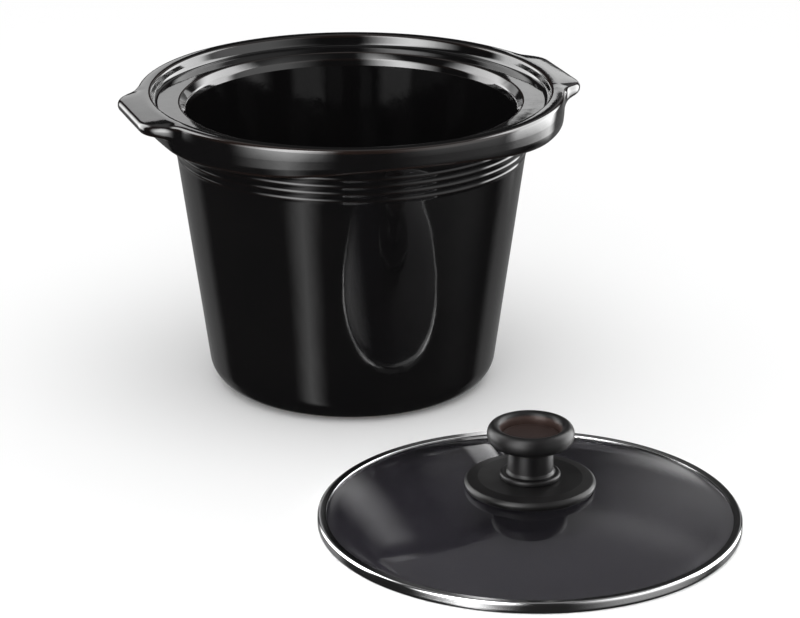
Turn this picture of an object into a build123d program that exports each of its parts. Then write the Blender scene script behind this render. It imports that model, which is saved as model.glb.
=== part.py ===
from build123d import *
import math
import os

# Removable stoneware crock of a round slow cooker, with its domed glass lid lying beside it.
# Origin: centre of the crock's foot. +Z up, lug handles along +X and -X, lid towards -Y. Millimetres.

# ---------------------------------------------------------------- lid sizes
LID_RADIUS = 108.0          # outside of the steel rim band
BAND_GAUGE = 0.6            # sheet thickness of the band
BAND_LIP = 4.5              # how far the band's lips reach in over the glass
BAND_CORNER = 1.5
SEAL_THICKNESS = 0.4        # silicone between band and glass
SEAL_SETBACK = 1.0          # the silicone stops this far outside the band's lips
GLASS_THICKNESS = 4.0
DOME_RISE = 15.9            # glass rim to glass crown
DOME_SETBACK = 0.6          # the dome starts this far inside the band's lips
GLASS_HOLE_RADIUS = 4.2

# ---------------------------------------------------------------- crock sizes
CROCK_HEIGHT = 169.6
WALL_FOOT_RADIUS = 78.6     # outer wall, carried down to the foot plane
FOOT_EDGE_RADIUS = 15.5
FLOOR_THICKNESS = 9.0
FLOOR_CORNER_RADIUS = 15.0
WALL_THICKNESS = 7.5        # just above the floor corner
NECK_THICKNESS = 8.7        # wall under the rim
LID_SIDE_GAP = 1.6          # lid band to recess wall
RECESS_DEPTH = 6.5          # rim top to the ledge that the lid sits on
RECESS_DRAFT = 1.3          # the recess opens by this much towards the top
RECESS_CORNER = 3.0
RIM_WIDTH = 8.3             # recess to the rim's outer edge
SEAT_WIDTH = 14.1           # ledge, recess wall to its inner edge
STEP_DROP = 3.1             # second step below the ledge
STEP_WIDTH = 4.5            # ledge's inner edge to the opening
LIP_DROP = 6.5              # ledge to the bottom of the rounded inner lip
RIM_FACE_DEPTH = 12.0       # rim's outer face, midway between the lugs
SKIRT_DEPTH = 18.5          # the same face beside the lugs
SKIRT_DRAFT = 1.5           # the face leans in by this much over its full depth
SADDLE_HALF_WIDTH = 76.0    # distance from the middle at which the face reaches its full depth
NECK_BELOW_SKIRT = 1.5      # the wall's taper starts this far below the face
BEAD_COUNT = 4
FIRST_BEAD_BELOW_SKIRT = 4.0
BEAD_PITCH = 4.2
BEAD_RADIUS = 1.3
BEAD_PROUD = 0.6

# ---------------------------------------------------------------- lug handles
LUG_REACH = 8.3             # beyond the rim
LUG_END_WIDTH = 58.0
LUG_SIDE_ANGLE = 36.0       # degrees that each side splays from the lug's own axis
LUG_THICKNESS = 6.0
LUG_CORNER = 6.0
LUG_GUSSET_DEPTH = 13.5

# ---------------------------------------------------------------- knob and its fixing
SKIRT_RADIUS = 34.0
SKIRT_THICKNESS = 3.5
SKIRT_EDGE_WIDTH = 6.0      # rounded edge outside the hollow under the skirt
SKIRT_EDGE_FLAT = 2.5
SKIRT_GAP = 0.45            # skirt's edge to the glass below it
GASKET_THICKNESS = 1.0      # silicone washer, glass to skirt
GASKET_RADIUS = 14.0
STEM_RADIUS = 11.6
COLLAR_PROUD = 3.8          # the collar stands this far out of the stem
COLLAR_HEIGHT = 2.8
GRIP_HEIGHT = 28.2          # skirt to the knob's crown
RING_RADIUS = 22.2          # outside of the ring-shaped grip
RING_HEIGHT = 10.0
WELL_RADIUS = 15.0
WELL_DEPTH = 7.2
WELL_FLOOR_THICKNESS = 2.8
CAP_THICKNESS = 1.6
CAP_GAP = 0.2
SCREW_RADIUS = 2.5
SCREW_HEAD_RADIUS = 4.75
SCREW_HEAD_HEIGHT = 3.0
SCREW_RECESS_RADIUS = 1.6
SCREW_CLEARANCE = 0.25
THREAD_CLEARANCE = 0.05
INSERT_RADIUS = 3.6
INSERT_LENGTH = 12.0
SCREW_ENGAGEMENT = 9.0
INNER_GASKET_RADIUS = 8.0
INNER_GASKET_THICKNESS = 1.5
WASHER_RADIUS = 7.0
WASHER_THICKNESS = 1.0
SPRING_WASHER_RADIUS = 4.5
SPRING_WASHER_THICKNESS = 1.2
SPRING_WASHER_SPLIT = 1.0

# ---------------------------------------------------------------- where the lid lies
LID_GAP = 1.6               # plan gap between lid and rim, so that the lid lifts straight up
LID_BEARING = -85.5         # degrees from +X

# ---------------------------------------------------------------- derived sizes
NECK_DROP = SKIRT_DEPTH + NECK_BELOW_SKIRT
BEAD_FIRST_DROP = SKIRT_DEPTH + FIRST_BEAD_BELOW_SKIRT
RECESS_RADIUS = LID_RADIUS + LID_SIDE_GAP
RECESS_TOP_RADIUS = RECESS_RADIUS + RECESS_DRAFT
RIM_RADIUS = RECESS_TOP_RADIUS + RIM_WIDTH
SEAT_INNER_RADIUS = RECESS_RADIUS - SEAT_WIDTH
OPENING_RADIUS = SEAT_INNER_RADIUS - STEP_WIDTH
NECK_RADIUS = OPENING_RADIUS + NECK_THICKNESS
SEAT_Z = CROCK_HEIGHT - RECESS_DEPTH
NECK_Z = CROCK_HEIGHT - NECK_DROP
LID_DISTANCE = RIM_RADIUS + LID_RADIUS + LID_GAP
LID_PLACE = Location((
    LID_DISTANCE * math.cos(math.radians(LID_BEARING)),
    LID_DISTANCE * math.sin(math.radians(LID_BEARING)),
    0,
))

GLASS_RADIUS = LID_RADIUS - BAND_GAUGE - SEAL_THICKNESS
GLASS_RIM_BOTTOM = BAND_GAUGE + SEAL_THICKNESS
GLASS_RIM_TOP = GLASS_RIM_BOTTOM + GLASS_THICKNESS
BAND_HEIGHT = GLASS_RIM_TOP + SEAL_THICKNESS + BAND_GAUGE
DOME_EDGE_RADIUS = LID_RADIUS - BAND_LIP - DOME_SETBACK
CROWN_Z = GLASS_RIM_TOP + DOME_RISE
DOME_RADIUS = (DOME_EDGE_RADIUS ** 2 + DOME_RISE ** 2) / (2 * DOME_RISE)
UNDERSIDE_Z = CROWN_Z - GLASS_THICKNESS
COLLAR_RADIUS = STEM_RADIUS + COLLAR_PROUD

SKIRT_Z = CROWN_Z + GASKET_THICKNESS
GRIP_Z = SKIRT_Z + SKIRT_THICKNESS
KNOB_TOP_Z = GRIP_Z + GRIP_HEIGHT
INNER_GASKET_Z = UNDERSIDE_Z - INNER_GASKET_THICKNESS
WASHER_Z = INNER_GASKET_Z - WASHER_THICKNESS
SPRING_WASHER_Z = WASHER_Z - SPRING_WASHER_THICKNESS
SCREW_TIP_Z = GRIP_Z + SCREW_ENGAGEMENT


def point(radius, height):
    return Vector(radius, 0, height)


def rounded_outline(corners):
    """Closed face in the XZ plane from (radius, height, corner radius) rows."""
    starts, mids, ends = [], [], []
    for index, (radius, height, rounding) in enumerate(corners):
        here = point(radius, height)
        before = point(*corners[index - 1][:2]) - here
        after = point(*corners[(index + 1) % len(corners)][:2]) - here
        half = math.radians(before.get_angle(after)) / 2
        if rounding == 0:
            starts.append(here)
            mids.append(None)
            ends.append(here)
            continue
        reach = min(rounding / math.tan(half), 0.48 * before.length, 0.48 * after.length)
        true_radius = reach * math.tan(half)
        middle = (before.normalized() + after.normalized()).normalized()
        starts.append(here + before.normalized() * reach)
        mids.append(here + middle * (true_radius / math.sin(half) - true_radius))
        ends.append(here + after.normalized() * reach)
    edges = []
    for index in range(len(corners)):
        if mids[index] is not None:
            edges.append(ThreePointArc(starts[index], mids[index], ends[index]))
        edges.append(Line(ends[index], starts[(index + 1) % len(corners)]))
    return make_face(edges)


def turned(corners):
    return revolve(rounded_outline(corners), Axis.Z)


def ring(inner, outer, bottom, top):
    return turned([(inner, bottom, 0), (outer, bottom, 0), (outer, top, 0), (inner, top, 0)])


def wall_radius(height):
    """Outer radius of the tapered wall at a height."""
    return WALL_FOOT_RADIUS + (NECK_RADIUS - WALL_FOOT_RADIUS) * height / NECK_Z


def rim_face_radius(drop):
    """Outer radius of the rim's face at a depth below the rim's top."""
    return RIM_RADIUS - SKIRT_DRAFT * drop / SKIRT_DEPTH


def dome_height(radius):
    """Height of the glass's outer surface at a radius."""
    return CROWN_Z - DOME_RADIUS + math.sqrt(DOME_RADIUS ** 2 - radius ** 2)


# ---------------------------------------------------------------- crock
def crock_shell():
    top = CROCK_HEIGHT
    wall_foot = wall_radius(FLOOR_THICKNESS) - WALL_THICKNESS
    return turned([
        (0, 0, 0),
        (WALL_FOOT_RADIUS, 0, FOOT_EDGE_RADIUS),
        (NECK_RADIUS, NECK_Z, 2),
        (NECK_RADIUS, top - RIM_FACE_DEPTH, 2),
        (rim_face_radius(RIM_FACE_DEPTH), top - RIM_FACE_DEPTH, 1.5),
        (RIM_RADIUS, top, 3),
        (RECESS_TOP_RADIUS, top, 2),
        (RECESS_RADIUS, SEAT_Z, RECESS_CORNER),
        (SEAT_INNER_RADIUS, SEAT_Z, 1),
        (SEAT_INNER_RADIUS - 1, SEAT_Z - STEP_DROP, 0.8),
        (OPENING_RADIUS + 0.6, SEAT_Z - STEP_DROP, 2),
        (OPENING_RADIUS, SEAT_Z - LIP_DROP, 0),
        (wall_foot, FLOOR_THICKNESS, FLOOR_CORNER_RADIUS),
        (0, FLOOR_THICKNESS, 0),
    ])


def rim_skirt():
    """The deeper rim face beside the lugs, cut to a saddle midway between them."""
    low = CROCK_HEIGHT - SKIRT_DEPTH
    high = CROCK_HEIGHT - RIM_FACE_DEPTH + 1
    inner = NECK_RADIUS - 2
    skirt = turned([
        (inner, low, 0),
        (rim_face_radius(SKIRT_DEPTH), low, 1.5),
        (rim_face_radius(RIM_FACE_DEPTH - 1), high, 0),
        (inner, high, 0),
    ])
    dip = SKIRT_DEPTH - RIM_FACE_DEPTH
    radius = SADDLE_HALF_WIDTH ** 2 / (2 * dip)
    crest = CROCK_HEIGHT - RIM_FACE_DEPTH
    saddle = Cylinder(radius, 4 * RIM_RADIUS, rotation=(90, 0, 0))
    return skirt - Pos(0, 0, crest - radius) * saddle


def lug(side):
    """One lug handle: a rounded plate at rim height, with a gusset below it."""
    end = RIM_RADIUS + LUG_REACH
    root = (RECESS_TOP_RADIUS + RIM_RADIUS) / 2
    half_end = LUG_END_WIDTH / 2
    root_x = root * 0.92
    half_root = half_end + (end - root_x) * math.tan(math.radians(LUG_SIDE_ANGLE))
    top = CROCK_HEIGHT
    plan = Polygon(
        (root_x, -half_root), (end, -half_end), (end, half_end), (root_x, half_root), align=None,
    )
    plan = fillet(plan.vertices().group_by(Axis.X)[-1], LUG_CORNER)
    plate = Pos(0, 0, top - LUG_THICKNESS) * extrude(plan, LUG_THICKNESS)
    outer_edges = plate.edges().filter_by(lambda edge: edge.center().X > end - 2 * LUG_CORNER)
    outer_edges = outer_edges.filter_by(GeomType.LINE).filter_by(Axis.Z, reverse=True)
    plate = chamfer(outer_edges.group_by(Axis.X)[-1], LUG_THICKNESS / 4)
    gusset_section = Polygon(
        (root, top - LUG_THICKNESS + 1),
        (root, top - LUG_GUSSET_DEPTH),
        (rim_face_radius(LUG_GUSSET_DEPTH) - 0.5, top - LUG_GUSSET_DEPTH),
        (end - 2.5, top - LUG_THICKNESS + 0.5),
        (end - 2.5, top - LUG_THICKNESS + 1),
        align=None,
    )
    gusset = extrude(Plane.XZ * gusset_section, half_end - LUG_CORNER, both=True)
    bore = Pos(0, 0, top - SKIRT_DEPTH) * Cylinder(
        root, 2 * SKIRT_DEPTH, align=(Align.CENTER, Align.CENTER, Align.MIN),
    )
    handle = (plate + gusset) - bore
    return handle if side > 0 else Rot(0, 0, 180) * handle


def beads():
    rows = []
    for index in range(BEAD_COUNT):
        height = CROCK_HEIGHT - BEAD_FIRST_DROP - index * BEAD_PITCH
        rows.append(Pos(0, 0, height) * Torus(wall_radius(height) + BEAD_PROUD - BEAD_RADIUS, BEAD_RADIUS))
    return rows


def crock():
    return crock_shell() + rim_skirt() + lug(1) + lug(-1) + beads()


# ---------------------------------------------------------------- lid
def lid_glass():
    """Domed glass with a flat rim and a centre hole."""
    centre_z = CROWN_Z - DOME_RADIUS
    inner_radius = DOME_RADIUS - GLASS_THICKNESS
    inner_edge = math.sqrt(inner_radius ** 2 - (GLASS_RIM_BOTTOM - centre_z) ** 2)

    def on_arc(radius, across):
        return point(across, centre_z + math.sqrt(radius ** 2 - across ** 2))

    hole = GLASS_HOLE_RADIUS
    top_edge = point(DOME_EDGE_RADIUS, GLASS_RIM_TOP)
    low_edge = point(inner_edge, GLASS_RIM_BOTTOM)
    profile = make_face([
        ThreePointArc(on_arc(DOME_RADIUS, hole), on_arc(DOME_RADIUS, DOME_EDGE_RADIUS / 2), top_edge),
        Line(top_edge, point(GLASS_RADIUS, GLASS_RIM_TOP)),
        Line(point(GLASS_RADIUS, GLASS_RIM_TOP), point(GLASS_RADIUS, GLASS_RIM_BOTTOM)),
        Line(point(GLASS_RADIUS, GLASS_RIM_BOTTOM), low_edge),
        ThreePointArc(low_edge, on_arc(inner_radius, inner_edge / 2), on_arc(inner_radius, hole)),
        Line(on_arc(inner_radius, hole), on_arc(DOME_RADIUS, hole)),
    ])
    return revolve(profile, Axis.Z)


def rim_band():
    """Steel channel, open inwards, rolled round the glass."""
    lip = LID_RADIUS - BAND_LIP
    inside = LID_RADIUS - BAND_GAUGE
    inner_corner = BAND_CORNER - BAND_GAUGE
    return turned([
        (lip, 0, 0),
        (LID_RADIUS, 0, BAND_CORNER),
        (LID_RADIUS, BAND_HEIGHT, BAND_CORNER),
        (lip, BAND_HEIGHT, 0),
        (lip, BAND_HEIGHT - BAND_GAUGE, 0),
        (inside, BAND_HEIGHT - BAND_GAUGE, inner_corner),
        (inside, BAND_GAUGE, inner_corner),
        (lip, BAND_GAUGE, 0),
    ])


def rim_seal():
    """Silicone channel between the band and the glass edge, bevelled to clear the band's bends."""
    lip = LID_RADIUS - BAND_LIP + SEAL_SETBACK
    outer = LID_RADIUS - BAND_GAUGE
    top = BAND_HEIGHT - BAND_GAUGE
    bevel = BAND_CORNER - BAND_GAUGE
    return turned([
        (lip, BAND_GAUGE, 0),
        (outer - bevel, BAND_GAUGE, 0),
        (outer, BAND_GAUGE + bevel, 0),
        (outer, top - bevel, 0),
        (outer - bevel, top, 0),
        (lip, top, 0),
        (lip, GLASS_RIM_TOP, 0),
        (GLASS_RADIUS, GLASS_RIM_TOP, 0),
        (GLASS_RADIUS, GLASS_RIM_BOTTOM, 0),
        (lip, GLASS_RIM_BOTTOM, 0),
    ])


def upper_gasket():
    return ring(GLASS_HOLE_RADIUS, GASKET_RADIUS, CROWN_Z, SKIRT_Z)


def knob_skirt():
    """Wide disc at the knob's foot, hollow underneath, with a rounded edge."""
    bore = SCREW_RADIUS + SCREW_CLEARANCE
    edge_wall = SKIRT_RADIUS - 1
    edge_inner = edge_wall - SKIRT_EDGE_FLAT
    edge_low = dome_height(edge_inner) + SKIRT_GAP
    return turned([
        (bore, SKIRT_Z, 0),
        (SKIRT_RADIUS - SKIRT_EDGE_WIDTH, SKIRT_Z, 1),
        (edge_inner, edge_low, 0.5),
        (edge_wall, edge_low, 1),
        (SKIRT_RADIUS, (GRIP_Z + edge_low) / 2, 2),
        (SKIRT_RADIUS - 2.5, GRIP_Z - 0.6, 2),
        (COLLAR_RADIUS + 4, GRIP_Z, 4),
        (bore, GRIP_Z, 0),
    ])


def knob_grip():
    """Waisted stem that carries a ring-shaped finger grip with a well in its top."""
    ring_tube = (RING_RADIUS - WELL_RADIUS) / 2
    ring_centre = RING_RADIUS - ring_tube
    ring_z = KNOB_TOP_Z - RING_HEIGHT / 2
    well_z = KNOB_TOP_Z - WELL_DEPTH
    insert_top = GRIP_Z + INSERT_LENGTH
    stem = turned([
        (INSERT_RADIUS, GRIP_Z, 0),
        (COLLAR_RADIUS, GRIP_Z, 0.8),
        (COLLAR_RADIUS, GRIP_Z + COLLAR_HEIGHT, 1.2),
        (STEM_RADIUS, GRIP_Z + COLLAR_HEIGHT, 1),
        (STEM_RADIUS, well_z - WELL_FLOOR_THICKNESS, 4),
        (ring_centre, ring_z - RING_HEIGHT / 4, 0),
        (ring_centre, ring_z, 0),
        (WELL_RADIUS, ring_z, 0),
        (WELL_RADIUS, well_z, 0),
        (0, well_z, 0),
        (0, insert_top, 0),
        (INSERT_RADIUS, insert_top, 0),
    ])
    grip = revolve(
        Plane.XZ * Pos(ring_centre, ring_z) * Ellipse(ring_tube, RING_HEIGHT / 2), Axis.Z,
    )
    return stem + grip


def knob_cap():
    """Thin disc that closes the well's floor."""
    low = KNOB_TOP_Z - WELL_DEPTH
    radius = WELL_RADIUS - CAP_GAP
    return turned([
        (0, low, 0), (radius, low, 0), (radius, low + CAP_THICKNESS, 0.4), (0, low + CAP_THICKNESS, 0),
    ])


def knob_insert():
    bore = SCREW_RADIUS + THREAD_CLEARANCE
    return ring(bore, INSERT_RADIUS, GRIP_Z, GRIP_Z + INSERT_LENGTH)


def knob_screw():
    head_low = SPRING_WASHER_Z - SCREW_HEAD_HEIGHT
    return turned([
        (0, head_low + SCREW_HEAD_HEIGHT / 2, 0),
        (SCREW_RECESS_RADIUS, head_low + SCREW_HEAD_HEIGHT / 2, 0),
        (SCREW_RECESS_RADIUS, head_low, 0),
        (SCREW_HEAD_RADIUS, head_low, 1.2),
        (SCREW_HEAD_RADIUS, SPRING_WASHER_Z, 0),
        (SCREW_RADIUS, SPRING_WASHER_Z, 0),
        (SCREW_RADIUS, SCREW_TIP_Z, 0.5),
        (0, SCREW_TIP_Z, 0),
    ])


def spring_washer():
    bore = SCREW_RADIUS + SCREW_CLEARANCE
    coil = ring(bore, SPRING_WASHER_RADIUS, SPRING_WASHER_Z, WASHER_Z)
    split = Box(
        2 * SPRING_WASHER_RADIUS, SPRING_WASHER_SPLIT, 3 * SPRING_WASHER_THICKNESS,
        align=(Align.MIN, Align.CENTER, Align.CENTER),
    )
    return coil - Pos(0, 0, WASHER_Z) * split


def flat_washer():
    return ring(SCREW_RADIUS + SCREW_CLEARANCE, WASHER_RADIUS, WASHER_Z, INNER_GASKET_Z)


def lower_gasket():
    """Silicone washer under the glass; its top follows the dome's underside at its own edge."""
    sag = (DOME_RADIUS - GLASS_THICKNESS) - math.sqrt(
        (DOME_RADIUS - GLASS_THICKNESS) ** 2 - INNER_GASKET_RADIUS ** 2
    )
    return ring(SCREW_RADIUS + SCREW_CLEARANCE, INNER_GASKET_RADIUS, INNER_GASKET_Z, UNDERSIDE_Z - sag)


CROCK_NODES = {"crock": crock}
LID_NODES = {
    "lid_glass": lid_glass,
    "rim_band": rim_band,
    "rim_seal": rim_seal,
    "upper_gasket": upper_gasket,
    "knob_skirt": knob_skirt,
    "knob_grip": knob_grip,
    "knob_cap": knob_cap,
    "knob_insert": knob_insert,
    "knob_screw": knob_screw,
    "spring_washer": spring_washer,
    "flat_washer": flat_washer,
    "lower_gasket": lower_gasket,
}

os.makedirs("parts", exist_ok=True)
for name, make in CROCK_NODES.items():
    export_step(make(), f"parts/{name}.step")
for name, make in LID_NODES.items():
    export_step(LID_PLACE * make(), f"parts/{name}.step")
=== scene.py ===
import math

import bmesh
import bpy
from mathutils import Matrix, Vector


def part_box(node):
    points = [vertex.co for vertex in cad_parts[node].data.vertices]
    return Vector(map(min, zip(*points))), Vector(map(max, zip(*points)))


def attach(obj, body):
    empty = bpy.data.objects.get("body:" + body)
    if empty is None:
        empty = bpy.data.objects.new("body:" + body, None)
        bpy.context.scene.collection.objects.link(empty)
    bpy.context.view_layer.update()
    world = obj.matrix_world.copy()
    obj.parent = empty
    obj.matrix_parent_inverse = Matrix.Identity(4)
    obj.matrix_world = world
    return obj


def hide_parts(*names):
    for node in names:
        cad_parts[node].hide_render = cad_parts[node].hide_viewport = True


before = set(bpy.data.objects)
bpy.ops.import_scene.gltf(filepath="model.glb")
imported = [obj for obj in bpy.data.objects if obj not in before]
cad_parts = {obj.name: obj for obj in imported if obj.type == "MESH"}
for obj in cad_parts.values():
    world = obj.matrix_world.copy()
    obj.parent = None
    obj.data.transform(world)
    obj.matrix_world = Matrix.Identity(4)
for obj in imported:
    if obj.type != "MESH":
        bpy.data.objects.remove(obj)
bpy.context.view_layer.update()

# A slow cooker's stoneware crock and its domed glass lid, lying beside it. Metres, in the CAD frame.
# Section points below are (radius, height, corner radius) in millimetres and are turned about an axis.

MM = 0.001
SEGMENTS = 288              # round a turned piece
BAND_SEGMENTS = 384
CAP_SEGMENTS = 144
CROCK_SEGMENTS = 400
CORNER_STEPS = 7            # points on each rounded corner
AXIS = 1e-4                 # a radius below this is on the axis

# ------------------------------------------------------------------ sizes read from the frame
_, crock_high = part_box("crock")
band_low, band_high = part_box("rim_band")
glass_low, glass_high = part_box("lid_glass")
skirt_low, skirt_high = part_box("knob_skirt")
grip_low, grip_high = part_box("knob_grip")
cap_low, cap_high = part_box("knob_cap")

CROCK_TOP = crock_high.z / MM
RIM_RADIUS = crock_high.y / MM
LUG_END = crock_high.x / MM
LID_CENTRE = (band_low + band_high) / 2
LID_CENTRE.z = 0
LID_RADIUS = (band_high.x - band_low.x) / 2 / MM
BAND_TOP = band_high.z / MM
GLASS_RADIUS = (glass_high.x - glass_low.x) / 2 / MM
GLASS_CROWN = glass_high.z / MM
GRIP_FOOT = grip_low.z / MM
GRIP_TOP = grip_high.z / MM
RING_RADIUS = (grip_high.x - grip_low.x) / 2 / MM
SKIRT_RADIUS = (skirt_high.x - skirt_low.x) / 2 / MM
SKIRT_FOOT = skirt_low.z / MM
SKIRT_TOP = skirt_high.z / MM
CAP_RADIUS = (cap_high.x - cap_low.x) / 2 / MM
WELL_FLOOR = cap_low.z / MM
CAP_TOP = cap_high.z / MM

# ------------------------------------------------------------------ crock sizes, mm
FOOT_RADIUS = 79.5          # outer wall carried down to the foot plane
FOOT_EDGE = 15.5            # radius of the foot's rounded edge
NECK_RADIUS = 99.7
NECK_DROP = 20.0            # rim top to where the wall's taper starts
FLOOR = 9.0
FLOOR_CORNER = 15.0
INNER_FOOT_RADIUS = 72.4
OPENING_RADIUS = 91.0
RECESS_RADIUS = 109.6
RECESS_TOP_RADIUS = 110.9
RECESS_DEPTH = 6.5
SEAT_INNER_RADIUS = 95.5
STEP_DROP = 3.1             # ledge to the second step below it
LIP_DROP = 6.5              # ledge to the foot of the rounded inner lip
FACE_DEPTH = 12.0           # rim's outer face midway between the lugs
SKIRT_DEPTH = 18.3          # the same face beside the lugs
GUSSET_DEPTH = 13.0         # and under the middle of a lug
FACE_DRAFT = 1.0            # the face leans in by this much over its full depth
FACE_BULGE = 0.45           # the face's lower part stays this far inside the rim's radius
BEAD_COUNT = 4
BEAD_FIRST_DROP = 22.5
BEAD_PITCH = 4.2
BEAD_PROUD = 0.20
BEAD_HALF_WIDTH = 1.6
BEAD_ROW = 0.42             # height between rows of points where the beads are
LUG_HALF_WIDTH = 29.0
LUG_SIDE_ANGLE = math.radians(36)
LUG_REGION = math.radians(60)   # beyond this angle from a lug's axis the rim is a plain circle
LUG_CORNER_SOFTNESS = 8.0
LUG_ROOT_SOFTNESS = 4.0
LUG_THICKNESS = 6.0
LUG_TOP_FALL = 1.4          # the lug's top falls this much towards its end
RIM_CROWN = 0.35            # the rim's top is this much higher along its middle
WAVE = 0.10                 # unevenness of the fired wall
WAVE_ON_RIM = 0.3           # share of it that is left on the rim
EDGE_BENDS = (0.12, 0.55)   # bend per mm at which the glaze starts to thin, and is thinnest
WALL_ROWS = 22              # rows of points on the wall below the beads
FOOT_STEPS = 18             # points on the foot's rounded edge

# ------------------------------------------------------------------ lid sizes, mm
GLASS_THICKNESS = 4.0
GLASS_HOLE_RADIUS = 4.2
GLASS_EDGE = 1.2            # rounding of the glass rim
DOME_SETBACK = 5.1          # the dome starts this far inside the lid's radius
DOME_STEPS = 60
DOME_BLEND = 1.6            # softness of the bend between dome and flat rim
BAND_LIP = 4.5              # how far the band reaches in over the glass
BAND_GAUGE = 0.6
DISC_THICKNESS = 3.5
DISC_BORE_RADIUS = 2.75
COLLAR_RADIUS = 15.4        # foot of the knob's stem
COLLAR_HEIGHT = 2.8
STEM_RADIUS = 11.6
RING_HALF_HEIGHT = 5.0
RING_STEPS = 40
WELL_GAP = 0.2              # the well's disc to the well's wall
CAP_LIFT = 0.02             # keeps the disc's underside off the well's floor


# ------------------------------------------------------------------ numbers and curves
def smooth(value, low, high):
    """0 below low, 1 above high, with soft ends."""
    t = min(1.0, max(0.0, (value - low) / (high - low)))
    return t * t * (3 - 2 * t)


def mix(a, b, share):
    return a + (b - a) * share


def soft_min(a, b, width):
    overlap = max(width - abs(a - b), 0) / width
    return min(a, b) - overlap * overlap * width / 4


def soft_max(a, b, width):
    return -soft_min(-a, -b, width)


def rounded_line(corners, closed=False, longest=8.0, steps=CORNER_STEPS):
    """Points along a polyline whose corners are rounded, with its straight runs divided."""
    points = []
    count = len(corners)
    ends = []
    for index, (radius, height, rounding) in enumerate(corners):
        here = Vector((radius, height))
        if rounding == 0 or (not closed and index in (0, count - 1)):
            ends.append([here])
            continue
        before = Vector(corners[index - 1][:2]) - here
        after = Vector(corners[(index + 1) % count][:2]) - here
        half = before.angle(after) / 2
        reach = min(rounding / math.tan(half), 0.48 * before.length, 0.48 * after.length)
        start = here + before.normalized() * reach
        finish = here + after.normalized() * reach
        true_radius = reach * math.tan(half)
        centre = here + (before.normalized() + after.normalized()).normalized() * (
            true_radius / math.sin(half)
        )
        spoke = start - centre
        turn = spoke.angle_signed(finish - centre)
        arc = []
        for step in range(steps + 1):
            angle = -turn * step / steps
            arc.append(centre + Vector((
                spoke.x * math.cos(angle) - spoke.y * math.sin(angle),
                spoke.x * math.sin(angle) + spoke.y * math.cos(angle),
            )))
        ends.append(arc)
    for index in range(count):
        points.extend(ends[index])
        if index == count - 1 and not closed:
            break
        start = ends[index][-1]
        finish = ends[(index + 1) % count][0]
        corner = Vector(corners[index][:2])
        other = Vector(corners[(index + 1) % count][:2])
        runs = max(1, round((other - corner).length / longest))
        for step in range(1, runs):
            points.append(start.lerp(finish, step / runs))
    return points


# ------------------------------------------------------------------ mesh building
def finish_mesh(name, mesh_data, body, material, nodes):
    """Turns a bmesh into a smooth-shaded piece that rides a body and stands for CAD nodes."""
    bmesh.ops.recalc_face_normals(mesh_data, faces=mesh_data.faces)
    mesh = bpy.data.meshes.new(name)
    mesh_data.to_mesh(mesh)
    mesh_data.free()
    mesh.shade_smooth()
    piece = bpy.data.objects.new(name, mesh)
    bpy.context.scene.collection.objects.link(piece)
    piece.data.materials.append(material)
    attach(piece, body)
    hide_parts(*nodes)
    return piece


def skin_rings(mesh_data, rings, closed):
    """Quads between neighbouring rings of vertices; a ring of one vertex is a pole."""
    pairs = list(zip(rings, rings[1:]))
    if closed:
        pairs.append((rings[-1], rings[0]))
    for lower, upper in pairs:
        count = max(len(lower), len(upper))
        for index in range(count):
            after = (index + 1) % count
            if len(lower) == 1:
                mesh_data.faces.new((lower[0], upper[after], upper[index]))
            elif len(upper) == 1:
                mesh_data.faces.new((lower[index], lower[after], upper[0]))
            else:
                mesh_data.faces.new((lower[index], lower[after], upper[after], upper[index]))


def turned_mesh(section, centre, closed, segments=SEGMENTS):
    """A section of (radius, height) points in mm, turned about a vertical axis."""
    mesh_data = bmesh.new()
    rings = []
    for radius, height in section:
        if radius < AXIS:
            rings.append([mesh_data.verts.new((centre.x, centre.y, height * MM))])
            continue
        rings.append([
            mesh_data.verts.new((
                centre.x + radius * MM * math.cos(2 * math.pi * index / segments),
                centre.y + radius * MM * math.sin(2 * math.pi * index / segments),
                height * MM,
            ))
            for index in range(segments)
        ])
    skin_rings(mesh_data, rings, closed)
    return mesh_data


# ------------------------------------------------------------------ crock
def from_lug(theta):
    """Angle from the nearer lug's axis, 0 to 90 degrees, in radians."""
    folded = abs(math.atan2(math.sin(theta), math.cos(theta)))
    return min(folded, math.pi - folded)


def rim_outline(theta):
    """Radius of the rim's outer edge in plan: a circle with a lug on each side."""
    phi = from_lug(theta)
    if phi > LUG_REGION:
        return RIM_RADIUS
    end = LUG_END / math.cos(phi)
    slope = math.tan(LUG_SIDE_ANGLE)
    side = (LUG_HALF_WIDTH + LUG_END * slope) / (math.sin(phi) + slope * math.cos(phi))
    lug = min(soft_min(end, side, LUG_CORNER_SOFTNESS), end)
    return min(soft_max(RIM_RADIUS, lug, LUG_ROOT_SOFTNESS), end)


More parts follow.
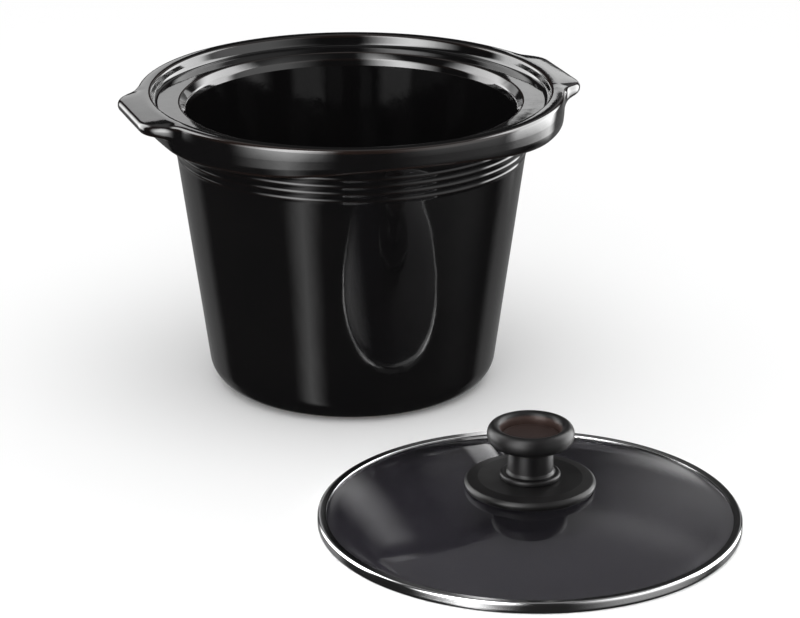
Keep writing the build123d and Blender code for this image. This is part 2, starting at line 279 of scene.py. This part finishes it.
def crock_section(theta):
    """The crock's section at an angle; every angle gives the same number of points."""
    phi = math.degrees(from_lug(theta))
    edge = rim_outline(theta)
    proud = edge - RIM_RADIUS
    lugness = smooth(proud, 0.0, 5.0)
    # the outer face is deepest beside the lugs, less deep midway between them and under each one
    depth = mix(SKIRT_DEPTH, FACE_DEPTH, smooth(phi, 42, 88))
    depth = mix(GUSSET_DEPTH, depth, smooth(phi, 4, 24))
    top = CROCK_TOP
    outer_top = top - LUG_TOP_FALL * lugness
    face_foot = RIM_RADIUS - FACE_DRAFT * depth / SKIRT_DEPTH
    # drops to the two bends in the outer face; on a lug they are its plate and the turn under it
    plate = mix(depth * 0.42, LUG_THICKNESS, lugness)
    under = mix(depth * 0.70, LUG_THICKNESS + 3.0, lugness)
    seat = top - RECESS_DEPTH
    wall_top = top - NECK_DROP - 0.5
    corners = [
        (0, FLOOR, 0),
        (INNER_FOOT_RADIUS, FLOOR, FLOOR_CORNER),
        (OPENING_RADIUS, seat - LIP_DROP, 4.0),
        (OPENING_RADIUS + 1.0, seat - STEP_DROP - 0.3, 3.0),
        (SEAT_INNER_RADIUS, seat, 1.6),
        (RECESS_RADIUS, seat, 3.0),
        (RECESS_TOP_RADIUS, top - RIM_CROWN, 2.0),
        (RECESS_TOP_RADIUS + 4.2, top, 14.0),
        (edge, outer_top - RIM_CROWN, mix(4.6, 3.0, lugness)),
        (edge - mix(0.2, 0.1, lugness), outer_top - plate, mix(9.0, 2.6, lugness)),
        (mix(RIM_RADIUS - FACE_BULGE, face_foot + 2.6, lugness), top - under, mix(9.0, 2.4, lugness)),
        (face_foot, top - depth, 2.4),
        (NECK_RADIUS + 0.3, top - depth - 0.2, 3.0),
        (NECK_RADIUS, wall_top, 1.0),
    ]
    points = rounded_line(corners)
    wall_end = FOOT_EDGE * 0.9
    last_bead = BEAD_FIRST_DROP + BEAD_COUNT * BEAD_PITCH
    heights = []
    height = wall_top - 0.4
    while height > top - last_bead:
        heights.append(height)
        height -= BEAD_ROW
    heights += [mix(height, wall_end, step / WALL_ROWS) for step in range(WALL_ROWS + 1)]
    for height in heights:
        points.append(Vector((wall_radius(height) + bead(height), height)))
    lean = math.atan2(NECK_RADIUS - FOOT_RADIUS, top - NECK_DROP)
    reach = FOOT_EDGE * math.tan((math.pi / 2 + lean) / 2 - lean)
    foot = FOOT_RADIUS - FOOT_EDGE / math.cos(lean) + math.tan(lean) * FOOT_EDGE
    for step in range(1, FOOT_STEPS + 1):
        angle = mix(-lean, -math.pi / 2, step / FOOT_STEPS)
        points.append(Vector((
            foot + FOOT_EDGE * math.cos(angle),
            FOOT_EDGE + FOOT_EDGE * math.sin(angle),
        )))
    points += [Vector((foot * share, 0)) for share in (0.985, 0.95, 0.8, 0.6, 0.4, 0.2)]
    points.append(Vector((0, 0)))
    return points


def wall_radius(height):
    return mix(FOOT_RADIUS, NECK_RADIUS, height / (CROCK_TOP - NECK_DROP))


def bead(height):
    """How far the rows of fine beads stand out of the wall at a height."""
    total = 0.0
    for index in range(BEAD_COUNT):
        away = (CROCK_TOP - BEAD_FIRST_DROP - index * BEAD_PITCH - height) / BEAD_HALF_WIDTH
        if abs(away) < 1:
            total += BEAD_PROUD * (0.5 + 0.5 * math.cos(math.pi * away))
    return total


def hand_wave(theta, height):
    """Slow unevenness of fired clay, never outwards."""
    slow = math.sin(2 * theta + 0.6) + 0.7 * math.sin(3 * theta - height / 31 + 1.9)
    fine = 0.5 * math.sin(7 * theta + height / 17) + 0.4 * math.sin(height / 9 + 4 * theta)
    return WAVE * ((slow + fine) / 2.6 - 1)


def bend(section):
    """0 where a section is flat or hollow, up to 1 on a sharp outward edge, where glaze thins."""
    shares = [0.0]
    for before, here, after in zip(section, section[1:], section[2:]):
        run, rise = here - before, after - here
        turn = run.x * rise.y - run.y * rise.x
        length = run.length * rise.length * (run + rise).length / 2
        shares.append(smooth(-turn / max(length, 1e-6), *EDGE_BENDS))
    return shares + [0.0]


def build_crock(material):
    mesh_data = bmesh.new()
    edge_layer = mesh_data.verts.layers.float.new("edge")
    angles = [2 * math.pi * index / CROCK_SEGMENTS for index in range(CROCK_SEGMENTS)]
    sections = [crock_section(theta) for theta in angles]
    sharpness = [bend(section) for section in sections]
    rings = []
    for row in range(len(sections[0])):
        if sections[0][row].x < AXIS:
            rings.append([mesh_data.verts.new((0, 0, sections[0][row].y * MM))])
            continue
        ring = []
        for index, theta in enumerate(angles):
            radius, height = sections[index][row]
            # no unevenness near the axis, and less of it on the rim
            calmer = mix(1, WAVE_ON_RIM, smooth(height, 145, 155))
            radius += hand_wave(theta, height) * smooth(radius, 60, 78) * calmer
            vertex = mesh_data.verts.new((
                radius * MM * math.cos(theta), radius * MM * math.sin(theta), height * MM,
            ))
            vertex[edge_layer] = sharpness[index][row]
            ring.append(vertex)
        rings.append(ring)
    skin_rings(mesh_data, rings, closed=False)
    return finish_mesh("crock_glazed", mesh_data, "crock", material, ["crock"])


# ------------------------------------------------------------------ lid
def dome_section():
    """Glass shell with a flat rim: crown outwards, round the edge, and back underneath."""
    rim_low = (BAND_TOP - GLASS_THICKNESS) / 2
    rim_top = rim_low + GLASS_THICKNESS
    dome_edge = LID_RADIUS - DOME_SETBACK
    rise = GLASS_CROWN - rim_top
    ball = (dome_edge ** 2 + rise ** 2) / (2 * rise)
    centre = GLASS_CROWN - ball
    top, under = [], []
    for step in range(DOME_STEPS + 1):
        across = mix(GLASS_HOLE_RADIUS, dome_edge, step / DOME_STEPS)
        outer = centre + math.sqrt(ball ** 2 - across ** 2)
        top.append(Vector((across, soft_max(outer, rim_top, DOME_BLEND))))
        inner = centre + math.sqrt((ball - GLASS_THICKNESS) ** 2 - across ** 2)
        under.append(Vector((across, soft_max(inner, rim_low, DOME_BLEND))))
    edge = rounded_line([
        (dome_edge + 1.0, rim_top, 0),
        (GLASS_RADIUS, rim_top, GLASS_EDGE),
        (GLASS_RADIUS, rim_low, GLASS_EDGE),
        (dome_edge + 1.0, rim_low, 0),
    ], longest=1.5, steps=4)
    return top + edge + list(reversed(under))


def build_glass(material):
    mesh_data = turned_mesh(dome_section(), LID_CENTRE, closed=True)
    return finish_mesh("glass_dome", mesh_data, "lid", material, ["lid_glass"])


def build_band(material):
    lip = LID_RADIUS - BAND_LIP
    inside = LID_RADIUS - BAND_GAUGE
    section = rounded_line([
        (lip, 0.0, 0.25),
        (LID_RADIUS, 0.0, 1.6),
        (LID_RADIUS, BAND_TOP, 1.2),
        (lip, BAND_TOP - 0.35, 0.25),
        (lip, BAND_TOP - BAND_GAUGE - 0.3, 0.25),
        (inside, BAND_TOP - BAND_GAUGE, 1.0),
        (inside, BAND_GAUGE, 1.0),
        (lip, BAND_GAUGE, 0.25),
    ], closed=True, longest=1.2, steps=8)
    mesh_data = turned_mesh(section, LID_CENTRE, closed=True, segments=BAND_SEGMENTS)
    return finish_mesh("steel_rim", mesh_data, "lid", material, ["rim_band"])


def build_skirt(material):
    section = rounded_line([
        (DISC_BORE_RADIUS, SKIRT_TOP - DISC_THICKNESS, 0.3),
        (27.5, SKIRT_TOP - DISC_THICKNESS, 1.0),
        (SKIRT_RADIUS - 3.4, SKIRT_FOOT, 0.5),
        (SKIRT_RADIUS - 0.9, SKIRT_FOOT, 0.9),
        (SKIRT_RADIUS, SKIRT_TOP - 2.7, 1.8),
        (SKIRT_RADIUS - 1.6, SKIRT_TOP - 1.0, 1.6),
        (SKIRT_RADIUS - 7.0, SKIRT_TOP - 0.2, 5.0),
        (15.5, SKIRT_TOP, 0.8),
        (DISC_BORE_RADIUS, SKIRT_TOP, 0.3),
    ], closed=True, longest=2.5, steps=8)
    mesh_data = turned_mesh(section, LID_CENTRE, closed=True)
    return finish_mesh("knob_disc", mesh_data, "lid", material, ["knob_skirt"])


def build_grip(material):
    ring_z = GRIP_TOP - RING_HALF_HEIGHT
    tube = (RING_RADIUS - CAP_RADIUS - WELL_GAP) / 2
    centre = RING_RADIUS - tube
    stem = rounded_line([
        (3.6, GRIP_FOOT, 0),
        (COLLAR_RADIUS, GRIP_FOOT, 0.6),
        (COLLAR_RADIUS, GRIP_FOOT + COLLAR_HEIGHT, 1.3),
        (STEM_RADIUS + 1.0, GRIP_FOOT + COLLAR_HEIGHT, 1.0),
        (STEM_RADIUS, GRIP_FOOT + COLLAR_HEIGHT + 1.4, 1.4),
        (STEM_RADIUS, ring_z - 6.4, 3.0),
        (centre - 1.0, ring_z - RING_HALF_HEIGHT, 0),
    ], longest=1.6)
    ring = []
    for step in range(1, RING_STEPS):
        angle = mix(-math.pi / 2, math.pi, step / RING_STEPS)
        ring.append(Vector((
            centre + tube * math.cos(angle),
            ring_z + RING_HALF_HEIGHT * math.sin(angle),
        )))
    well = rounded_line([
        (CAP_RADIUS + WELL_GAP, ring_z - 0.6, 0),
        (CAP_RADIUS + WELL_GAP, WELL_FLOOR, 0.3),
        (0, WELL_FLOOR, 0),
    ], longest=2.0)
    mesh_data = turned_mesh(stem + ring + well, LID_CENTRE, closed=False)
    return finish_mesh("knob_handle", mesh_data, "lid", material, ["knob_grip"])


def build_cap(material):
    section = rounded_line([
        (0, WELL_FLOOR + CAP_LIFT, 0),
        (CAP_RADIUS, WELL_FLOOR + CAP_LIFT, 0.3),
        (CAP_RADIUS, CAP_TOP, 0.5),
        (CAP_RADIUS - 2.0, CAP_TOP - 0.3, 1.0),
        (0, CAP_TOP - 0.5, 0),
    ], longest=1.5)
    mesh_data = turned_mesh(section, LID_CENTRE, closed=False, segments=CAP_SEGMENTS)
    return finish_mesh("well_disc", mesh_data, "lid", material, ["knob_cap"])


# ------------------------------------------------------------------ materials
class Nodes:
    """A short way to make and join shader nodes."""

    def __init__(self, tree):
        self.tree = tree

    def add(self, kind, settings=(), **inputs):
        node = self.tree.nodes.new(kind)
        for key, value in dict(settings).items():
            setattr(node, key, value)
        for key, value in inputs.items():
            self.set(node, key.replace("_", " "), value)
        return node

    def set(self, node, key, value):
        socket = node.inputs[int(key)] if key.isdigit() else node.inputs[key]
        if isinstance(value, bpy.types.NodeSocket):
            self.tree.links.new(value, socket)
        else:
            socket.default_value = value

    def math(self, operation, a, b=0.0):
        node = self.tree.nodes.new("ShaderNodeMath")
        node.operation = operation
        self.set(node, "0", a)
        self.set(node, "1", b)
        return node.outputs[0]

    def range(self, value, low, high, to_low, to_high, interpolation="LINEAR"):
        node = self.tree.nodes.new("ShaderNodeMapRange")
        node.interpolation_type = interpolation
        for key, item in zip(("Value", "From Min", "From Max", "To Min", "To Max"),
                             (value, low, high, to_low, to_high)):
            self.set(node, key, item)
        return node.outputs["Result"]

    def noise(self, vector, scale, detail=3.0):
        node = self.add("ShaderNodeTexNoise", Scale=scale, Detail=detail, Roughness=0.5)
        self.set(node, "Vector", vector)
        return node.outputs["Fac"]

    def colours(self, share, first, second):
        node = self.tree.nodes.new("ShaderNodeMix")
        node.data_type = "RGBA"
        self.set(node, "0", share)
        for key, value in (("6", first), ("7", second)):
            self.set(node, key, value if isinstance(value, bpy.types.NodeSocket) else (*value, 1))
        return node.outputs[2]

    def bump(self, height, strength, distance, normal=None):
        node = self.add("ShaderNodeBump", Strength=strength, Distance=distance, Height=height)
        if normal is not None:
            self.set(node, "Normal", normal)
        return node.outputs["Normal"]


def new_material(name):
    material = bpy.data.materials.new(name)
    material.use_nodes = True
    nodes = Nodes(material.node_tree)
    shader = material.node_tree.nodes["Principled BSDF"]
    place = nodes.add("ShaderNodeTexCoord").outputs["Object"]
    return material, nodes, shader, place


def glaze():
    """Black gloss glaze over stoneware; the flat of the foot is bare clay."""
    material, nodes, shader, place = new_material("black_glaze")
    parts = nodes.add("ShaderNodeSeparateXYZ", Vector=place)
    height = parts.outputs["Z"]
    bare = nodes.range(height, 0.00035, 0.0006, 1.0, 0.0)
    mottle = nodes.noise(place, 22.0, 4.0)
    fleck = nodes.noise(place, 900.0, 2.0)
    edge = nodes.add("ShaderNodeAttribute", {"attribute_name": "edge"}).outputs["Fac"]
    thin = nodes.math("MULTIPLY", edge, nodes.range(mottle, 0.35, 0.65, 0.25, 0.8))
    dark = nodes.colours(mottle, (0.0030, 0.0030, 0.0034), (0.0060, 0.0055, 0.0055))
    dark = nodes.colours(thin, dark, (0.016, 0.0095, 0.0075))
    clay = nodes.colours(fleck, (0.42, 0.33, 0.24), (0.60, 0.50, 0.38))
    nodes.set(shader, "Base Color", nodes.colours(bare, dark, clay))
    gloss = nodes.range(nodes.noise(place, 60.0, 3.0), 0.3, 0.7, 0.045, 0.085)
    rough = nodes.math("MAXIMUM", gloss, nodes.math("MULTIPLY", bare, 0.85))
    nodes.set(shader, "Roughness", rough)
    peel = nodes.noise(place, 150.0, 2.0)
    slow = nodes.noise(place, 28.0, 2.0)
    grain = nodes.math("MULTIPLY", fleck, bare)
    bumped = nodes.bump(peel, 0.07, 0.0004)
    bumped = nodes.bump(slow, 0.10, 0.0016, bumped)
    bumped = nodes.bump(grain, 0.5, 0.0004, bumped)
    nodes.set(shader, "Normal", bumped)
    shader.inputs["IOR"].default_value = 1.52
    return material


def smoked_glass():
    """Tempered glass with a grey tint; lamps pass it, so that what lies under it is lit."""
    material, nodes, shader, place = new_material("smoked_glass")
    shader.inputs["Transmission Weight"].default_value = 1.0
    shader.inputs["IOR"].default_value = 1.50
    smear = nodes.noise(place, 35.0, 4.0)
    nodes.set(shader, "Base Color", nodes.colours(smear, (0.125, 0.121, 0.134), (0.145, 0.141, 0.155)))
    nodes.set(shader, "Roughness", nodes.range(smear, 0.45, 0.75, 0.004, 0.03))
    nodes.set(shader, "Normal", nodes.bump(nodes.noise(place, 18.0, 1.0), 0.05, 0.001))
    through = nodes.add("ShaderNodeBsdfTransparent", Color=(0.42, 0.42, 0.44, 1))
    path = nodes.add("ShaderNodeLightPath")
    choose = nodes.add("ShaderNodeMixShader")
    nodes.set(choose, "0", path.outputs["Is Shadow Ray"])
    nodes.set(choose, "1", shader.outputs["BSDF"])
    nodes.set(choose, "2", through.outputs["BSDF"])
    out = material.node_tree.nodes["Material Output"]
    material.node_tree.links.new(choose.outputs["Shader"], out.inputs["Surface"])
    return material


def about_lid_axis(nodes, place):
    """Distance from the lid's axis, angle round it in radians, and height in metres."""
    parts = nodes.add("ShaderNodeSeparateXYZ", Vector=place)
    across = nodes.math("SUBTRACT", parts.outputs["X"], LID_CENTRE.x)
    along = nodes.math("SUBTRACT", parts.outputs["Y"], LID_CENTRE.y)
    radius = nodes.math("SQRT", nodes.math("ADD", nodes.math("MULTIPLY", across, across),
                                           nodes.math("MULTIPLY", along, along)))
    return radius, nodes.math("ARCTAN2", along, across), parts.outputs["Z"]


def turned_grain(nodes, place, lines):
    """Fine lines that run round the lid's axis, as polishing leaves them."""
    radius, angle, height = about_lid_axis(nodes, place)
    joined = nodes.add("ShaderNodeCombineXYZ", X=nodes.math("MULTIPLY", radius, lines),
                       Y=nodes.math("MULTIPLY", angle, 3.0),
                       Z=nodes.math("MULTIPLY", height, lines))
    return nodes.noise(joined.outputs["Vector"], 1.0, 3.0)


def band_steel():
    material, nodes, shader, place = new_material("polished_steel")
    grain = turned_grain(nodes, place, 9000.0)
    tarnish = nodes.noise(place, 30.0, 3.0)
    nodes.set(shader, "Base Color", nodes.colours(tarnish, (0.66, 0.66, 0.67), (0.78, 0.78, 0.78)))
    nodes.set(shader, "Roughness", nodes.range(grain, 0.2, 0.8, 0.07, 0.16))
    nodes.set(shader, "Normal", nodes.bump(grain, 0.12, 0.0001))
    shader.inputs["Metallic"].default_value = 1.0
    return material


def moulded_plastic(name, first, second, low_rough, high_rough, grain_size, well=None):
    """Satin plastic or rubber; the wall of the knob's well may have a colour of its own."""
    material, nodes, shader, place = new_material(name)
    cloud = nodes.noise(place, 45.0, 4.0)
    colour = nodes.colours(cloud, first, second)
    if well:
        radius, _, height = about_lid_axis(nodes, place)
        inside = nodes.range(radius, (CAP_RADIUS + 0.7) * MM, (CAP_RADIUS + 1.3) * MM, 1.0, 0.0)
        above = nodes.range(height, (WELL_FLOOR - 0.4) * MM, WELL_FLOOR * MM, 0.0, 1.0)
        colour = nodes.colours(nodes.math("MULTIPLY", inside, above), colour, well)
    nodes.set(shader, "Base Color", colour)
    nodes.set(shader, "Roughness", nodes.range(cloud, 0.3, 0.7, low_rough, high_rough))
    grain = nodes.noise(place, grain_size, 2.0)
    nodes.set(shader, "Normal", nodes.bump(grain, 0.12, 0.00015))
    shader.inputs["Specular IOR Level"].default_value = 0.18
    return material


def fixing_metal(name, first, second, rough):
    material, nodes, shader, place = new_material(name)
    grain = turned_grain(nodes, place, 6000.0)
    nodes.set(shader, "Base Color", nodes.colours(grain, first, second))
    nodes.set(shader, "Roughness", nodes.range(grain, 0.2, 0.8, rough, rough + 0.15))
    nodes.set(shader, "Normal", nodes.bump(grain, 0.2, 0.0001))
    shader.inputs["Metallic"].default_value = 1.0
    return material


def dress_cad_nodes(materials):
    """Gives the CAD nodes that stay on show their finished materials."""
    for node_name, material in materials.items():
        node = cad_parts[node_name]
        node.data.materials.clear()
        node.data.materials.append(material)


# ------------------------------------------------------------------ stage
VIEW_TURN = math.radians(19.5)      # the camera stands this far round from the -Y axis
CAMERA_DIP = math.radians(20.3)     # and looks down by this much
CAMERA_LENS = 137.25
CAMERA_SENSOR = 36.0
FLOOR_HALF_SIZE = 6.0
BACKDROP = 0.95                     # the white that the camera and soft light meet
STUDIO_DARK = 0.02                  # what gloss mirrors where there is no softbox


def from_view(right, away, up):
    """A point given to the right of, and away from, the camera's side of the crock, in metres."""
    cosine, sine = math.cos(VIEW_TURN), math.sin(VIEW_TURN)
    return Vector((right * cosine + away * sine, -right * sine + away * cosine, up))


def make_camera():
    data = bpy.data.cameras.new("camera")
    data.sensor_width = CAMERA_SENSOR
    data.lens = CAMERA_LENS
    camera = bpy.data.objects.new("camera", data)
    camera.location = from_view(0.0271, -1.630, 0.6412)
    camera.rotation_euler = (math.radians(90) - CAMERA_DIP, 0, -VIEW_TURN)
    bpy.context.scene.collection.objects.link(camera)
    bpy.context.scene.camera = camera


def make_floor():
    mesh = bpy.data.meshes.new("floor")
    mesh_data = bmesh.new()
    bmesh.ops.create_grid(mesh_data, x_segments=4, y_segments=4, size=FLOOR_HALF_SIZE)
    mesh_data.to_mesh(mesh)
    mesh_data.free()
    floor = bpy.data.objects.new("floor", mesh)
    bpy.context.scene.collection.objects.link(floor)
    material, _, shader, _ = new_material("pale_floor")
    shader.inputs["Base Color"].default_value = (0.90, 0.90, 0.90, 1)
    shader.inputs["Roughness"].default_value = 0.9
    shader.inputs["Specular IOR Level"].default_value = 0.0
    mesh.materials.append(material)
    floor.visible_glossy = False


def make_card(name, place, width, height, power, receivers):
    """A soft light behind the crock, facing the camera's side, that lights only the receivers."""
    data = bpy.data.lights.new(name, "AREA")
    data.shape = "RECTANGLE"
    data.size = width
    data.size_y = height
    data.energy = power
    card = bpy.data.objects.new(name, data)
    card.location = place
    card.rotation_euler = (math.radians(-90), 0, -VIEW_TURN)
    card.visible_camera = False
    card.visible_diffuse = False
    card.visible_transmission = False
    card.light_linking.receiver_collection = receivers
    bpy.context.scene.collection.objects.link(card)


def make_lamp(name, place, size, power):
    """A round soft lamp aimed at the crock's foot, which shiny surfaces don't mirror."""
    data = bpy.data.lights.new(name, "AREA")
    data.shape = "DISK"
    data.size = size
    data.energy = power
    lamp = bpy.data.objects.new(name, data)
    lamp.location = place
    lamp.rotation_euler = (-place).to_track_quat("-Z", "Y").to_euler()
    lamp.visible_glossy = False
    bpy.context.scene.collection.objects.link(lamp)


# Softboxes as a shiny surface mirrors them: angle sideways from the camera's side of the crock, angle
# above the horizon, half widths of both, softness of the edge, all in degrees, and brightness.
SOFTBOXES = (
    (118, 16, 22, 34, 12, 8.5),
    (-118, 18, 22, 30, 14, 7.5),
    (150, -27, 26, 12, 14, 0.22),
    (-150, -27, 26, 12, 14, 0.22),
    (-36, 28, 16, 42, 32, 14.0),
    (-34, -34, 6, 18, 20, 1.2),
    (66, 22, 30, 40, 36, 1.6),
    (180, 64, 70, 32, 8, 0.29),
    (162, 18, 7, 20, 12, 0.34),
    (163, -4, 5, 8, 12, 2.0),
)


def make_world():
    """White to the camera and for soft light; gloss mirrors a dark studio with softboxes."""
    world = bpy.data.worlds.new("studio")
    world.use_nodes = True
    bpy.context.scene.world = world
    nodes = Nodes(world.node_tree)
    plain = world.node_tree.nodes["Background"]
    plain.inputs["Color"].default_value = (1, 1, 1, 1)
    plain.inputs["Strength"].default_value = BACKDROP
    direction = nodes.add("ShaderNodeTexCoord").outputs["Generated"]
    turned = nodes.add("ShaderNodeVectorRotate", {"rotation_type": "Z_AXIS"}, Angle=VIEW_TURN)
    nodes.set(turned, "Vector", direction)
    parts = nodes.add("ShaderNodeSeparateXYZ", Vector=turned.outputs["Vector"])
    toward = nodes.math("MULTIPLY", parts.outputs["Y"], -1.0)
    sideways = nodes.math("DEGREES", nodes.math("ARCTAN2", parts.outputs["X"], toward))
    height = nodes.math("DEGREES", nodes.math("ARCSINE", parts.outputs["Z"]))
    total = STUDIO_DARK
    for across, up, half_across, half_up, soft, bright in SOFTBOXES:
        patch = bright
        for value, middle, half in ((sideways, across, half_across), (height, up, half_up)):
            away = nodes.math("ABSOLUTE", nodes.math("SUBTRACT", value, middle))
            away = nodes.math("PINGPONG", away, 180.0)
            edge = nodes.range(away, half - soft / 2, half + soft / 2, 1.0, 0.0, "SMOOTHSTEP")
            patch = nodes.math("MULTIPLY", edge, patch)
        total = nodes.math("ADD", total, patch)
    mirrored = nodes.add("ShaderNodeBackground", Color=(1, 1, 1, 1))
    nodes.set(mirrored, "Strength", total)
    path = nodes.add("ShaderNodeLightPath")
    choose = nodes.add("ShaderNodeMixShader")
    nodes.set(choose, "0", path.outputs["Is Glossy Ray"])
    nodes.set(choose, "1", plain.outputs["Background"])
    nodes.set(choose, "2", mirrored.outputs["Background"])
    out = world.node_tree.nodes["World Output"]
    world.node_tree.links.new(choose.outputs["Shader"], out.inputs["Surface"])


def set_tone():
    settings = bpy.context.scene.view_settings
    settings.view_transform = "Standard"
    settings.look = "None"
    settings.exposure = 0.0
    settings.gamma = 1.0


# ------------------------------------------------------------------ build
plastic = moulded_plastic("black_phenolic", (0.0055, 0.0052, 0.0056), (0.0085, 0.0080, 0.0080),
                          low_rough=0.32, high_rough=0.46, grain_size=1500.0,
                          well=(0.045, 0.028, 0.024))
cap_plastic = moulded_plastic("well_floor", (0.016, 0.0095, 0.0085), (0.026, 0.0155, 0.013),
                              low_rough=0.45, high_rough=0.60, grain_size=1800.0)
silicone = moulded_plastic("dark_silicone", (0.020, 0.020, 0.021), (0.032, 0.032, 0.033),
                           low_rough=0.55, high_rough=0.70, grain_size=1200.0)
brass = fixing_metal("turned_brass", (0.62, 0.45, 0.20), (0.78, 0.60, 0.32), rough=0.22)
zinc = fixing_metal("zinc_plate", (0.48, 0.49, 0.50), (0.62, 0.62, 0.62), rough=0.25)

crock_piece = build_crock(glaze())
build_glass(smoked_glass())
build_band(band_steel())
build_skirt(plastic)
build_grip(plastic)
build_cap(cap_plastic)
dress_cad_nodes({
    "rim_seal": silicone,
    "upper_gasket": silicone,
    "lower_gasket": silicone,
    "knob_insert": brass,
    "knob_screw": zinc,
    "spring_washer": zinc,
    "flat_washer": zinc,
})

make_camera()
make_floor()
make_lamp("overhead", from_view(0.1, -0.6, 2.4), size=2.4, power=14.0)
make_lamp("front_fill", from_view(-0.4, -2.2, 1.0), size=1.8, power=10.0)
mirrors = bpy.data.collections.new("card_mirrors")
mirrors.objects.link(crock_piece)
make_card("left_card", from_view(-0.215, 0.45, 0.315),
          width=0.20, height=0.16, power=0.13, receivers=mirrors)
make_card("right_card", from_view(0.175, 0.45, 0.265),
          width=0.15, height=0.08, power=0.06, receivers=mirrors)
make_world()
set_tone()
